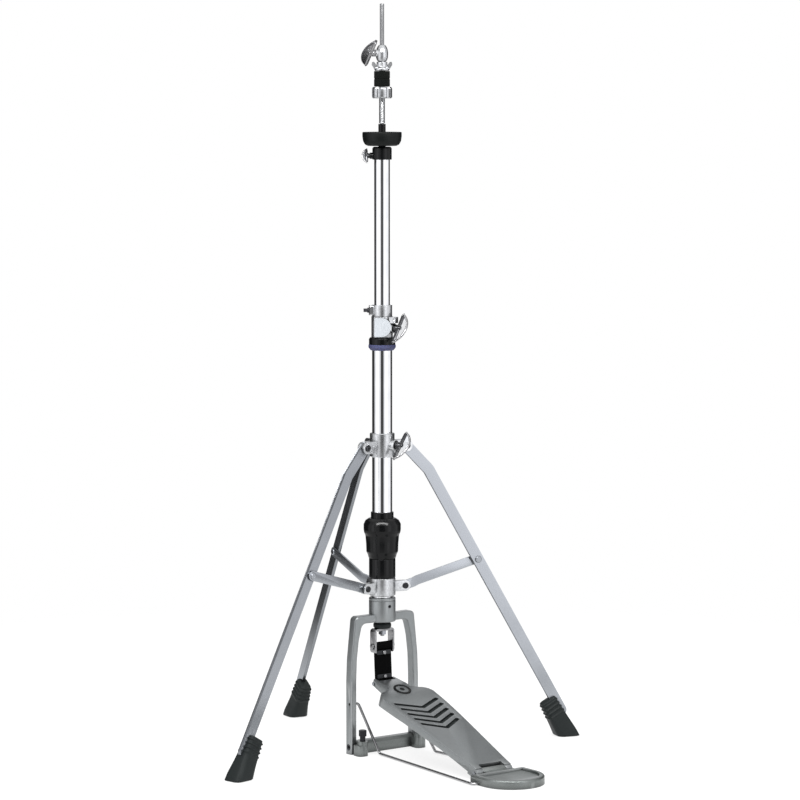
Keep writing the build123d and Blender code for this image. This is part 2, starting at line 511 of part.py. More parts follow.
def make_frame():
    """Cast yoke with two bowed posts, the foot crossbar and its two spurs."""
    post = plate_xz(post_outline(), -POST_DEPTH / 2, POST_DEPTH / 2)
    long_edges = [e for e in post.edges() if e.center().X > 5 and e.center().Z > 1
                  and abs(abs(e.center().Y) - POST_DEPTH / 2) < 0.01]
    post = fillet(long_edges, 2.2)
    post -= Pos(0, ROD_HOOK_Y, ROD_HOOK_Z) * cross_pin(WIRE_R, 40, 70)
    post -= Pos(0, 0, FRAME_SCREW_Z) * (cross_pin(2.5, 40, 70) + cross_pin(4.5, POST_OUTER_X - 4.5, 70))
    hub = shaft(HUB_R, HUB_BOTTOM_Z, HUB_TOP_Z)
    hub = chamfer(hub.edges().filter_by(GeomType.CIRCLE), 1.0)
    hub -= pipe(HUB_R + 1, HUB_R - 0.7, HUB_TOP_Z - 4.5, HUB_TOP_Z - 3.5)
    yoke = hub + post + mirror(post, about=Plane.YZ)
    yoke -= shaft(LOWER_TUBE_R, HUB_FLOOR_Z, HUB_TOP_Z + 1)
    yoke -= shaft(ROD_R + RUN, HUB_BOTTOM_Z - 1, HUB_FLOOR_Z + 1)
    yoke -= placed(cross_pin(2.5, -8, 3), SET_SCREW_AZ, HUB_R, SET_SCREW_Z)
    save("frame_yoke", yoke)

    section = Polyline((-8, 0), (8, 0), (8, 15), (5.5, CROSSBAR_TOP_Z),
                       (-4.5, CROSSBAR_TOP_Z), (-8, 13.5), close=True)
    bar = extrude(Plane.YZ * make_face(section), POST_INNER_X, both=True)
    for side in (-1, 1):
        foot = Pos(side * 51.5, -17.5) * RectangleRounded(17.0, 19.0, 6.0)
        bar += extrude(foot, 15.0)
        bar += Pos(side * SPUR_X, SPUR_Y, 0) * shaft(7.2, 0, 21.0)
        bar += extrude(Pos(side * 47.0, -8.0) * Rectangle(6.8, 8.0), 15.0)
    for side in (-1, 1):
        bar -= Pos(side * SPUR_X, SPUR_Y, 0) * shaft(SPUR_R + RUN, -1, 22.0)
        bar -= Pos(0, 0, FRAME_SCREW_Z) * cross_pin(2.5, *sorted((side * 36.0, side * 55.0)))
    bar -= block((POST_INNER_X, 62), (-POST_DEPTH / 2, 9), (-1, 30))
    bar -= block((-62, -POST_INNER_X), (-POST_DEPTH / 2, 9), (-1, 30))
    save("base_crossbar", bar)

    screws = []
    for side in (-1, 1):
        shank = cross_pin(2.5, *sorted((side * 36.0, side * (POST_OUTER_X - 4))))
        head = cross_pin(4.5, *sorted((side * (POST_OUTER_X - 4.5), side * (POST_OUTER_X - 0.6))))
        socket = extrude(Plane.YZ.offset(side * (POST_OUTER_X - 3)) * RegularPolygon(2.6, 6), 4 * side)
        screws.append(Pos(0, 0, FRAME_SCREW_Z) * (shank + head - socket))
    grub = cross_pin(2.5, -4.6, -1.4) - extrude(Plane.YZ.offset(-3.4) * RegularPolygon(1.5, 6), 4)
    screws.append(placed(grub, SET_SCREW_AZ, HUB_R, SET_SCREW_Z))
    save("frame_screws", *screws)

    for side, name in ((-1, "left"), (1, "right")):
        spur = turned((0, 1.0), (3.0, 6.0), (SPUR_R, 6.8), (SPUR_R, 30.0), (0, 30.0))
        head = nut_with_lobes(28.0, 37.0, 10, 6.2, 6.8, 1.6)
        save(f"spur_{name}", Pos(side * SPUR_X, SPUR_Y, 0) * (spur + head))


def make_radius_rods():
    """Bent wires that hold the heel plate to the two posts."""
    for side, name, bend in ((-1, "left", (29.0, -32.0)), (1, "right", (43.0, -68.0))):
        route = FilletPolyline((side * 58.0, ROD_HOOK_Y, ROD_HOOK_Z), (side * 44.5, ROD_HOOK_Y, ROD_HOOK_Z),
                               (side * bend[0], bend[1], WIRE_R + 0.4), (side * 54.0, -275.0, WIRE_R + 0.4),
                               (side * 39.0, -275.0, WIRE_R + 0.4), radius=5.0)
        wire = sweep(Plane(origin=route @ 0, z_dir=route % 0) * Circle(WIRE_R), path=route)
        save(f"radius_rod_{name}", wire)


# ---------------------------------------------------------------- pedal

def on_board(shape):
    """Carry a shape from the board's own axes, hinge axis at the origin, to its place."""
    return Pos(0, HINGE_Y, HINGE_Z) * Rot(BOARD_ANGLE, 0, 0) * shape


def board_outline(inset=0.0):
    """Half-outlines of the tread, mirrored: round shoulders, a narrow neck and a tapered heel."""
    right = [(31.0 - inset, 6.0), (37.5 - inset, 72.0), (43.0 - inset, 130.0), (46.0 - inset, 180.0)]
    shoulder = [(46.0 - inset, 199.0), (43.0 - inset, 212.0 - inset), (30.0 - inset, 219.5 - inset)]
    neck = [(18.0 - inset, 226.0), (18.0 - inset, 263.0)]
    toe = (0, 263.0)
    heel = (0, 6.0 + inset)
    edges = [Line(heel, right[0]), Spline(*right, shoulder[0]), ThreePointArc(*shoulder),
             Line(shoulder[-1], neck[0]), Line(*neck), Line(neck[1], toe), Line(toe, heel)]
    half = make_face(Curve() + edges)
    return half + mirror(half, about=Plane.YZ)


def make_footboard():
    """Cast tread with side skirts, chevron slots, toe fork and hinge ears."""
    top = BOARD_TOP_W
    side_view = Polyline((4.0, top), (234.0, top), (264.0, top - 5.5), (264.0, top - 15.0),
                         (222.0, top - 17.0), (203.0, top - 14.4), (150.0, top - 10.5),
                         (70.0, top - 9.0), (4.0, top - 12.0), close=True)
    envelope = extrude(Plane.YZ * make_face(side_view), 60, both=True)
    board = extrude(Plane.XY.offset(-20) * board_outline(), 40) & envelope
    inner = extrude(Plane.XY.offset(-30) * board_outline(BOARD_WALL), 30 + top - BOARD_PLATE)
    inner -= block((-60, 60), (-10, 14), (-40, 40))
    inner -= block((-60, 60), (221, 300), (-40, 40))
    board -= inner
    for i in range(5):
        apex = 167.0 - 14.5 * i
        reach = 36.0 - 1.3 * i
        for side in (-1, 1):
            board -= extrude(Plane.XY * strip((0, apex), (side * reach, apex + 17.0), SLOT_WIDTH), 20)
    for side in (-1, 1):
        ear_low, ear_high = sorted((side * EAR_INNER_X, side * EAR_OUTER_X))
        ear = cross_pin(7.2, ear_low, ear_high) + block((ear_low, ear_high), (0, 14.0), (-6.5, top))
        board += ear
    board -= block((-EAR_INNER_X, EAR_INNER_X), (-20, 9.5), (-30, 30))
    board = on_board(board)
    board -= Pos(0, HINGE_Y, HINGE_Z) * cross_pin(HINGE_PIN_R + RUN, -40, 40)
    board -= block((-STRAP_WIDTH / 2 - 0.5, STRAP_WIDTH / 2 + 0.5), (-13.0, 30), (60, 130))
    board -= Pos(0, *TOE_PIN) * cross_pin(LINK_PIN_R, -30, 30)
    save("footboard", board)
    pin = Pos(0, *TOE_PIN) * (cross_pin(LINK_PIN_R, -19.0, 19.0))
    save("toe_pin", pin)

    ring = shaft(13.0, top, top + 0.9) - pipe(9.4, 3.5, top + 0.3, top + 2)
    save("board_emblem", on_board(Pos(0, EMBLEM_V, 0) * ring))
    pad = block((-10.0, 10.0), (96.0, 116.0), (top - BOARD_PLATE - 12.0, top - BOARD_PLATE))
    save("board_bumper", on_board(fillet(pad.edges().sort_by(Axis.Z)[:4], 3.0)))


def make_heel():
    """Heel plate with a raised rim, and the pin that carries the footboard."""
    front = HEEL_FRONT_Y
    side = HEEL_HALF_WIDTH

    def outline(inset):
        back = HEEL_BACK_Y - inset
        left = -side + inset
        right = side - inset
        edges = [Line((left, back), (left, -292.0)),
                 ThreePointArc((left, -292.0), (0, front + inset), (right, -292.0)),
                 Line((right, -292.0), (right, back)), Line((right, back), (left, back))]
        return make_face(Curve() + edges)

    plate = extrude(outline(0), HEEL_HEIGHT)
    plate = fillet(plate.edges().filter_by(Plane.XY).group_by(Axis.Z)[-1], 3.0)
    plate -= extrude(Plane.XY.offset(HEEL_HEIGHT - 3.0) * outline(7.0), 5.0)
    tongue = block((-19.7, 19.7), (HEEL_BACK_Y - 3, HINGE_Y), (0, HEEL_HEIGHT))
    knuckle = Pos(0, HINGE_Y, HINGE_Z) * cross_pin(7.0, -19.7, 19.7)
    plate += tongue + knuckle
    plate -= Pos(0, HINGE_Y, HINGE_Z) * cross_pin(HINGE_PIN_R, -40, 40)
    for s in (-1, 1):
        plate -= Pos(0, -275.0, WIRE_R + 0.4) * cross_pin(WIRE_R, *sorted((s * 39.0, s * 50.0)))
    save("heel_plate", plate)
    save("hinge_pin", Pos(0, HINGE_Y, HINGE_Z) * cross_pin(HINGE_PIN_R, -32.0, 32.0))


def make_linkage():
    """Stirrup on the pull rod, its bumper and nuts, and the strap down to the toe."""
    x = STIRRUP_X
    shell = block((-x, x), (-6.0, 6.0), (140.0, STIRRUP_TOP_Z))
    shell = fillet(shell.edges().filter_by(Axis.Y), 5.0)
    shell -= block((-x + 2.8, x - 2.8), (-10, 10), (130.0, STIRRUP_TOP_Z - 3.5))
    shell -= shaft(ROD_R, 150, 180)
    shell -= Pos(0, 0, STIRRUP_PIN_Z) * cross_pin(LINK_PIN_R, -30, 30)
    save("stirrup", shell)
    pin = cross_pin(LINK_PIN_R, -x, x) + cross_pin(4.0, -x - 2.2, -x) + cross_pin(4.0, x, x + 2.2)
    save("stirrup_pin", Pos(0, 0, STIRRUP_PIN_Z) * pin)

    bumper = turned((ROD_R, STIRRUP_TOP_Z), (11.0, STIRRUP_TOP_Z), (12.8, STIRRUP_TOP_Z + 1.8),
                    (12.8, 181.5), (11.4, 183.2), (ROD_R, 183.2))
    save("rod_bumper", bumper)
    under_stirrup = (STIRRUP_TOP_Z - 9.0, STIRRUP_TOP_Z - 3.5, 5.8)
    over_spring = (SPRING_TOP_Z + 0.1, SPRING_TOP_Z + 6.0, 10.5)
    nuts = []
    for low, high, corner_r in (under_stirrup, over_spring):
        nut = extrude(Plane.XY.offset(low) * RegularPolygon(corner_r, 6), high - low)
        nuts.append(nut - shaft(ROD_R, low - 1, high + 1))
    save("rod_nuts", *nuts)

    top = (0.0, STIRRUP_PIN_Z)
    toe = TOE_PIN
    half = STRAP_WIDTH / 2
    web = strip(top, toe, STRAP_THICK) + Pos(*top) * Circle(6.0) + Pos(*toe) * Circle(6.0)
    web -= Pos(*top) * Circle(LINK_PIN_R + RUN)
    web -= Pos(*toe) * Circle(STRAP_EYE_R)
    save("strap", extrude(Plane.YZ * web, half, both=True))

    lean = degrees(atan2(top[0] - toe[0], top[1] - toe[1]))
    plates = []
    screws = []
    for z in (STIRRUP_PIN_Z - 9.4, TOE_PIN[1] + 9.6):
        y = -(STIRRUP_PIN_Z - z) / (STIRRUP_PIN_Z - TOE_PIN[1]) * -toe[0]
        place = Pos(0, y, z) * Rot(-lean, 0, 0)
        for face in (-1, 1):
            low, high = sorted((face * STRAP_THICK / 2, face * (STRAP_THICK / 2 + 1.6)))
            cover = block((-half + 1.5, half - 1.5), (low, high), (-3.0, 3.0))
            plates.append(place * fillet(cover.edges().filter_by(Axis.Y), 1.5))
        head = Rot(90, 0, 0) * Cylinder(2.6, 1.8)
        screws.append(place * Pos(0, -STRAP_THICK / 2 - 1.6 - 0.9, 0) * head)
    save("strap_clamps", *plates)
    save("strap_screws", *screws)


make_mast()
make_height_clamp()
make_memory_lock()
make_seat()
make_clutch()
make_legs()
make_collars()
make_adjuster()
make_frame()
make_radius_rods()
make_footboard()
make_heel()
make_linkage()
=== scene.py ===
import json
import math

import bmesh
import bpy
from mathutils import Matrix, Vector


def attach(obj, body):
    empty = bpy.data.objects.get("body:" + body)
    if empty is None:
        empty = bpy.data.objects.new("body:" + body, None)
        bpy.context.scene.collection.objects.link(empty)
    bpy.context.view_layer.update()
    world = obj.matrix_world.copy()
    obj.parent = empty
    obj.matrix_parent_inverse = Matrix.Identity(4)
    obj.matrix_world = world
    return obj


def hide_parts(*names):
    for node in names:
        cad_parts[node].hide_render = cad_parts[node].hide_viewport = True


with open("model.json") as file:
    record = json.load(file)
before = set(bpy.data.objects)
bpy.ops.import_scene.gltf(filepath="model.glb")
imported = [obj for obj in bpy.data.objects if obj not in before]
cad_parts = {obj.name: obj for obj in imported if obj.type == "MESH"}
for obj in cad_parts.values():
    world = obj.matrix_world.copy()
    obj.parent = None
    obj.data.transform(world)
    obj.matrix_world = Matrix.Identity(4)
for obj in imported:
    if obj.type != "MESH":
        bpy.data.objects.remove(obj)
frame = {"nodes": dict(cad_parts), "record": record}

# Shapes are written in millimetres and scaled to metres as they become meshes.
MM = 0.001
RECORD = frame["record"]
BODY_OF = {node: body for body, nodes in RECORD["behaviour"]["bodies"].items() for node in nodes}
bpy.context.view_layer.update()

# Azimuths of the pieces that point away from the mast, in degrees
CLAMP_BOLT_AZ = -72.0
CLUTCH_BOLT_AZ = 172.0
HORN_AZ = -37.0
TILTER_AZ = 150.0
PAD_AZ = -127.0
LEG_AZIMUTHS = {"right": -16.0, "back": 80.0, "left": 190.0}

# Bent centre line of a leg as (radius, z), where the foot's axis meets the floor, and the half
# width and thickness of the bar
LEG_LINE = [Vector((35.8, 436.0)), Vector((70.6, 400.0)), Vector((279.0, 38.0))]
FOOT_AT = (288.3, 0.0)
LEG_HALF_WIDTH = 8.0
LEG_HALF_THICK = 2.5

# Hinge and slope of the footboard, and how far up the slope the ring emblem sits
HINGE_Y = -249.0
HINGE_Z = 9.0
BOARD_ANGLE = 20.5
BADGE_UP = 219.0

# Spur screws beside the posts, radius wires and the bend that takes each wire to the floor
SPUR_X = 50.0
SPUR_Y = -20.0
WIRE_R = 2.0
WIRE_BENDS = {"left": (29.0, -32.0), "right": (43.0, -68.0)}

# Camera place in metres, its tilt and turn about Z in degrees, and its lens in millimetres
CAMERA_PLACE = (-2.833, -3.747, 0.948)
CAMERA_TILT = 84.57
CAMERA_AZ = -37.4
CAMERA_LENS = 150.0


# ------------------------------------------------------------------ shapes

# Edges of a CAD node sharper than this are rounded, and faces that differ by less than the
# second value are merged first, both in degrees
SOFT_FROM = 32.0
FLAT_BELOW = 0.4


def turn_z(azimuth):
    """Turn about the mast, in degrees."""
    return Matrix.Rotation(math.radians(azimuth), 4, "Z")


def move(x, y, z):
    """Shift in millimetres."""
    return Matrix.Translation((x, y, z))


def rounded(points):
    """Closed outline of (x, y) or (x, y, corner radius) points, with its corners made into arcs."""
    outline = []
    count = len(points)
    for i, point in enumerate(points):
        here = Vector(point[:2])
        wanted = point[2] if len(point) > 2 else 0.0
        back = Vector(points[i - 1][:2]) - here
        ahead = Vector(points[(i + 1) % count][:2]) - here
        corner = back.angle(ahead)
        if wanted <= 0 or corner > math.radians(177):
            outline.append(here)
            continue
        run = min(wanted / math.tan(corner / 2), 0.48 * back.length, 0.48 * ahead.length)
        arc_r = run * math.tan(corner / 2)
        inward = (back.normalized() + ahead.normalized()).normalized()
        middle = here + inward * arc_r / math.sin(corner / 2)
        start = here + back.normalized() * run - middle
        swing = math.pi - corner
        end = here + ahead.normalized() * run - middle
        if start.x * end.y - start.y * end.x < 0:
            swing = -swing
        steps = max(2, math.ceil(abs(swing) / math.radians(15)))
        for k in range(steps + 1):
            turned = Matrix.Rotation(swing * k / steps, 2) @ start
            outline.append(middle + turned)
    return outline


def lathe(outline, steps=96, shape=None):
    """Solid of revolution about Z from a closed (r, z) outline.

    shape(angle, r, z) may change the radius.
    """
    bm = bmesh.new()
    rings = []
    for i in range(steps):
        angle = 2 * math.pi * i / steps
        ring = []
        for r, z in outline:
            radius = shape(angle, r, z) if shape else r
            ring.append(bm.verts.new((radius * math.cos(angle), radius * math.sin(angle), z)))
        rings.append(ring)
    count = len(outline)
    for i in range(steps):
        for k in range(count):
            a, b = rings[i], rings[(i + 1) % steps]
            bm.faces.new((a[k], a[(k + 1) % count], b[(k + 1) % count], b[k]))
    return cleaned(bm)


def cleaned(bm):
    """Merges doubled points, drops empty faces and turns the normals outwards."""
    bmesh.ops.remove_doubles(bm, verts=bm.verts, dist=1e-4)
    bmesh.ops.dissolve_degenerate(bm, dist=1e-5, edges=bm.edges)
    bmesh.ops.recalc_face_normals(bm, faces=bm.faces)
    return bm


def inset(outline, distance):
    """The same closed outline, moved inwards."""
    area = sum(a.x * b.y - b.x * a.y for a, b in zip(outline, outline[1:] + outline[:1]))
    side = 1 if area > 0 else -1
    result = []
    for i, here in enumerate(outline):
        before = (here - outline[i - 1]).normalized()
        after = (outline[(i + 1) % len(outline)] - here).normalized()
        first = Vector((-before.y, before.x)) * side
        second = Vector((-after.y, after.x)) * side
        miter = first + second
        miter = miter / max(miter.length_squared / 2, 0.3)
        result.append(here + miter * distance)
    return result


def slab(outline, low, high, edge=0.8, steps=3):
    """Plate in XY between two heights, with rounded rims."""
    levels = []
    for k in range(steps + 1):
        angle = math.pi / 2 * k / steps
        depth = edge * (1 - math.cos(math.pi / 2 - angle))
        levels.append((low + edge * (1 - math.sin(angle)), depth))
    levels += [(low + high - z, d) for z, d in levels]
    levels.sort()
    bm = bmesh.new()
    rings = [[bm.verts.new((p.x, p.y, z)) for p in inset(outline, d)] for z, d in levels]
    count = len(outline)
    for lower, upper in zip(rings, rings[1:]):
        for k in range(count):
            bm.faces.new((lower[k], lower[(k + 1) % count], upper[(k + 1) % count], upper[k]))
    bm.faces.new(rings[0])
    bm.faces.new(rings[-1])
    return cleaned(bm)


def upright(bm):
    """Carries a plate drawn in XY so that its y runs along Z and its thickness along Y."""
    bm.transform(Matrix.Rotation(math.pi / 2, 4, "X"))
    return bm


def tube(points, radius, closed=False, sides=20):
    """Round bar that follows a line of 3-D points."""
    curve = bpy.data.curves.new("line", "CURVE")
    curve.dimensions = "3D"
    curve.bevel_depth = radius
    curve.bevel_resolution = sides // 4
    curve.use_fill_caps = not closed
    spline = curve.splines.new("POLY")
    spline.points.add(len(points) - 1)
    for point, place in zip(spline.points, points):
        point.co = (*place, 1.0)
    spline.use_cyclic_u = closed
    carrier = bpy.data.objects.new("line", curve)
    mesh = bpy.data.meshes.new_from_object(carrier)
    bm = bmesh.new()
    bm.from_mesh(mesh)
    bpy.data.objects.remove(carrier)
    bpy.data.curves.remove(curve)
    bpy.data.meshes.remove(mesh)
    return cleaned(bm)


def along_x(outline, steps=48):
    """Solid of revolution about X from an (r, x) outline."""
    bm = lathe(outline, steps)
    bm.transform(Matrix.Rotation(math.pi / 2, 4, "Y"))
    return bm


def barrel(radius, low, high, edge=0.5, steps=48):
    """Round bar along +X from x = low to x = high, with rounded rims."""
    outline = rounded([(0, low), (radius, low, edge), (radius, high, edge), (0, high)])
    return along_x(outline, steps)


def joined(*parts):
    """One bmesh made of several closed shells."""
    whole = bmesh.new()
    for part in parts:
        mesh = bpy.data.meshes.new("part")
        part.to_mesh(mesh)
        part.free()
        whole.from_mesh(mesh)
        bpy.data.meshes.remove(mesh)
    return whole


def finish_piece(name, bm, node, material, sharp=35.0, ride=None):
    """Makes a piece of a bmesh in millimetres.

    It stands for a CAD node, or is added to a body and a slot where node is None.
    """
    bm.transform(Matrix.Scale(MM, 4))
    mesh = bpy.data.meshes.new(name)
    bm.to_mesh(mesh)
    bm.free()
    hand_over(name, mesh, node, material, sharp, ride)


def hand_over(name, mesh, node, material, sharp, ride=None):
    """Shades a mesh, puts it in the scene and tells the frame what it rides and stands for."""
    mesh.materials.clear()
    mesh.materials.append(material)
    mesh.polygons.foreach_set("use_smooth", [True] * len(mesh.polygons))
    mesh.set_sharp_from_angle(angle=math.radians(sharp))
    piece = bpy.data.objects.new(name, mesh)
    bpy.context.scene.collection.objects.link(piece)
    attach(piece, ride or BODY_OF[node])
    if node:
        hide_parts(node)


def softened(node, material, width):
    """Copy of a CAD node with edges rounded to a width in millimetres, which stands for it."""
    source = frame["nodes"][node].data
    bm = bmesh.new()
    bm.from_mesh(source)
    bmesh.ops.remove_doubles(bm, verts=bm.verts, dist=2e-6)
    bmesh.ops.dissolve_limit(bm, angle_limit=math.radians(FLAT_BELOW), verts=bm.verts,
                             edges=bm.edges)
    mesh = bpy.data.meshes.new(node)
    bm.to_mesh(mesh)
    bm.free()
    carrier = bpy.data.objects.new(node + "_soft", mesh)
    bpy.context.scene.collection.objects.link(carrier)
    bevel = carrier.modifiers.new("bevel", "BEVEL")
    bevel.width = width * MM
    bevel.segments = 3
    bevel.limit_method = "ANGLE"
    bevel.angle_limit = math.radians(SOFT_FROM)
    bevel.use_clamp_overlap = True
    graph = bpy.context.evaluated_depsgraph_get()
    final = bpy.data.meshes.new_from_object(carrier.evaluated_get(graph))
    bpy.data.objects.remove(carrier)
    hand_over(node + "_body", final, node, material, sharp=50.0)


def bent(points, radius):
    """Open 3-D line with its corners made into arcs."""
    line = [Vector(points[0])]
    for before, here, after in zip(points, points[1:], points[2:]):
        here = Vector(here)
        back = (Vector(before) - here).normalized()
        ahead = (Vector(after) - here).normalized()
        corner = back.angle(ahead)
        middle = here + (back + ahead).normalized() * radius / math.sin(corner / 2)
        start = here + back * radius / math.tan(corner / 2) - middle
        steps = max(3, math.ceil((math.pi - corner) / math.radians(10)))
        axis = ahead.cross(back)
        for k in range(steps + 1):
            turned = Matrix.Rotation((math.pi - corner) * k / steps, 3, axis) @ start
            line.append(middle + turned)
    line.append(Vector(points[-1]))
    return line


def placed(bm, azimuth, radius, height, turn=0.0):
    """Carries a shape that points along +X to its place around the mast."""
    spin = Matrix.Rotation(math.radians(turn), 4, "X")
    bm.transform(turn_z(azimuth) @ move(radius, 0, height) @ spin)
    return bm


# --------------------------------------------------------------- materials

# Where the colour grain turns from dark to light, the scale of the patches in roughness, and
# the reach (in metres) and colour of the painted shade in narrow gaps
GRAIN_RAMP = (0.35, 0.65)
PATCH_SCALE = 14.0
PAINTED_SHADE_REACH = 0.012
PAINTED_SHADE_COLOUR = (0.004, 0.005, 0.005)


def surface(name, dark, light, grain, metallic=0.0, roughness=(0.3, 0.5), bump=0.0, depth=0.1,
            stretch=(1, 1, 1), wear=None, painted_gap_shade=None, sockets=None):
    """Finish with fine grain in colour and bump, and slow patches in roughness.

    depth is the height of the grain in millimetres, wear the colour of worn edges, and the
    argument after wear the share of colour left in narrow gaps, where it paints shade.
    """
    material = bpy.data.materials.new(name)
    material.use_nodes = True
    nodes = material.node_tree.nodes
    link = material.node_tree.links.new
    shader = nodes["Principled BSDF"]
    shader.inputs["Metallic"].default_value = metallic
    for socket, value in (sockets or {}).items():
        shader.inputs[socket].default_value = value
    place = nodes.new("ShaderNodeTexCoord")
    scaled = nodes.new("ShaderNodeMapping")
    scaled.inputs["Scale"].default_value = stretch
    link(place.outputs["Object"], scaled.inputs["Vector"])

    fine = nodes.new("ShaderNodeTexNoise")
    fine.inputs["Scale"].default_value = grain
    fine.inputs["Detail"].default_value = 4.0
    link(scaled.outputs["Vector"], fine.inputs["Vector"])
    colour = nodes.new("ShaderNodeValToRGB")
    colour.color_ramp.elements[0].position = GRAIN_RAMP[0]
    colour.color_ramp.elements[0].color = (*dark, 1.0)
    colour.color_ramp.elements[1].position = GRAIN_RAMP[1]
    colour.color_ramp.elements[1].color = (*light, 1.0)
    link(fine.outputs["Fac"], colour.inputs["Fac"])
    last = colour.outputs["Color"]

    slow = nodes.new("ShaderNodeTexNoise")
    slow.inputs["Scale"].default_value = PATCH_SCALE
    slow.inputs["Detail"].default_value = 2.0
    link(place.outputs["Object"], slow.inputs["Vector"])
    spread = nodes.new("ShaderNodeMapRange")
    spread.inputs["From Min"].default_value = 0.3
    spread.inputs["From Max"].default_value = 0.7
    spread.inputs["To Min"].default_value = roughness[0]
    spread.inputs["To Max"].default_value = roughness[1]
    link(slow.outputs["Fac"], spread.inputs["Value"])
    link(spread.outputs["Result"], shader.inputs["Roughness"])

    if wear:
        edges = nodes.new("ShaderNodeNewGeometry")
        worn = nodes.new("ShaderNodeMapRange")
        worn.inputs["From Min"].default_value = 0.515
        worn.inputs["From Max"].default_value = 0.60
        link(edges.outputs["Pointiness"], worn.inputs["Value"])
        broken = nodes.new("ShaderNodeMath")
        broken.operation = "MULTIPLY"
        link(worn.outputs["Result"], broken.inputs[0])
        link(slow.outputs["Fac"], broken.inputs[1])
        mixed = nodes.new("ShaderNodeMix")
        mixed.data_type = "RGBA"
        link(broken.outputs["Value"], mixed.inputs["Factor"])
        link(last, mixed.inputs["A"])
        mixed.inputs["B"].default_value = (*wear, 1.0)
        last = mixed.outputs["Result"]
    # Painted shade: the colour is darkened towards near-black where ambient occlusion finds narrow
    # gaps.
    if painted_gap_shade is not None:
        gaps = nodes.new("ShaderNodeAmbientOcclusion")
        gaps.samples = 8
        gaps.inputs["Distance"].default_value = PAINTED_SHADE_REACH
        shade = nodes.new("ShaderNodeMapRange")
        shade.inputs["From Min"].default_value = 0.25
        shade.inputs["From Max"].default_value = 0.85
        shade.inputs["To Min"].default_value = painted_gap_shade
        link(gaps.outputs["AO"], shade.inputs["Value"])
        darker = nodes.new("ShaderNodeMix")
        darker.data_type = "RGBA"
        link(shade.outputs["Result"], darker.inputs["Factor"])
        darker.inputs["A"].default_value = (*PAINTED_SHADE_COLOUR, 1.0)
        link(last, darker.inputs["B"])
        last = darker.outputs["Result"]
    link(last, shader.inputs["Base Color"])

    if bump:
        relief = nodes.new("ShaderNodeBump")
        relief.inputs["Strength"].default_value = bump
        relief.inputs["Distance"].default_value = depth * MM
        link(fine.outputs["Fac"], relief.inputs["Height"])
        link(relief.outputs["Normal"], shader.inputs["Normal"])
    return material


def woven(name, dark, light, threads):
    """Webbing: warp and weft ribs in bump, over fine grain in colour."""
    material = surface(name, dark, light, 900.0, roughness=(0.75, 0.9),
                       sockets={"Specular IOR Level": 0.03})
    nodes = material.node_tree.nodes
    link = material.node_tree.links.new
    shader = nodes["Principled BSDF"]
    place = nodes["Texture Coordinate"]
    ribs = []
    for direction in ("X", "Z"):
        wave = nodes.new("ShaderNodeTexWave")
        wave.bands_direction = direction
        wave.inputs["Scale"].default_value = threads
        wave.inputs["Distortion"].default_value = 0.6
        link(place.outputs["Object"], wave.inputs["Vector"])
        ribs.append(wave)
    crossed = nodes.new("ShaderNodeMath")
    crossed.operation = "MULTIPLY"
    link(ribs[0].outputs["Fac"], crossed.inputs[0])
    link(ribs[1].outputs["Fac"], crossed.inputs[1])
    relief = nodes.new("ShaderNodeBump")
    relief.inputs["Strength"].default_value = 0.8
    relief.inputs["Distance"].default_value = 0.3 * MM
    link(crossed.outputs["Value"], relief.inputs["Height"])
    link(relief.outputs["Normal"], shader.inputs["Normal"])
    return material


# The argument after wear paints shade into the narrow gaps of the finishes that have it.
CHROME = surface("chrome", (0.80, 0.81, 0.83), (0.88, 0.89, 0.90), 60.0, 1.0,
                 (0.03, 0.08), 0.02, 0.05)
CHROME_CAST = surface("chrome_cast", (0.42, 0.43, 0.44), (0.56, 0.57, 0.58), 420.0, 1.0,
                      (0.22, 0.34), 0.10, 0.08, wear=(0.74, 0.75, 0.76), painted_gap_shade=0.25)
# Dimmer and near-black copies of chrome; on the wings they are painted shade.
CHROME_GREY = surface("chrome_grey", (0.20, 0.20, 0.205), (0.34, 0.34, 0.345), 520.0, 1.0,
                      (0.18, 0.30), 0.20, 0.10, wear=(0.55, 0.55, 0.56), painted_gap_shade=0.2)
CHROME_PAINTED_SHADE = surface("chrome_painted_shade", (0.030, 0.031, 0.033), (0.060, 0.061, 0.064), 420.0, 1.0,
                      (0.16, 0.28), 0.10, 0.08, wear=(0.30, 0.30, 0.31), painted_gap_shade=0.3)
ROD_STEEL = surface("rod_steel", (0.24, 0.245, 0.25), (0.32, 0.325, 0.33), 500.0, 1.0, (0.22, 0.32),
                    0.08, 0.03, stretch=(1, 1, 0.1))
SATIN = surface("satin_steel", (0.23, 0.242, 0.258), (0.275, 0.289, 0.308), 1800.0, 1.0,
                (0.20, 0.29), 0.25, 0.05, wear=(0.42, 0.44, 0.47), painted_gap_shade=0.35)
BRACE_STEEL = surface("brace_steel", (0.31, 0.326, 0.348), (0.37, 0.389, 0.415), 1800.0, 1.0,
                      (0.20, 0.29), 0.25, 0.05, wear=(0.52, 0.54, 0.57), painted_gap_shade=0.35)
CAST = surface("cast_grey", (0.20, 0.213, 0.216), (0.285, 0.30, 0.305), 1400.0, 0.85, (0.30, 0.42),
               0.45, 0.12, wear=(0.44, 0.45, 0.455), painted_gap_shade=0.25)
CAST_DARK = surface("cast_dark", (0.15, 0.162, 0.158), (0.22, 0.236, 0.23), 1300.0, 0.85,
                    (0.34, 0.46), 0.45, 0.12, wear=(0.46, 0.475, 0.475), painted_gap_shade=0.2)
BRUSHED = surface("brushed_face", (0.60, 0.635, 0.67), (0.68, 0.715, 0.75), 900.0, 0.6,
                  (0.38, 0.50), 0.15, 0.05, stretch=(1, 1, 0.2))
BLACK_GLOSS = surface("black_plastic", (0.0022, 0.0024, 0.0026), (0.005, 0.0053, 0.0056), 700.0,
                      0.0, (0.10, 0.16), 0.04, 0.05, wear=(0.016, 0.016, 0.017),
                      sockets={"Specular IOR Level": 0.19})
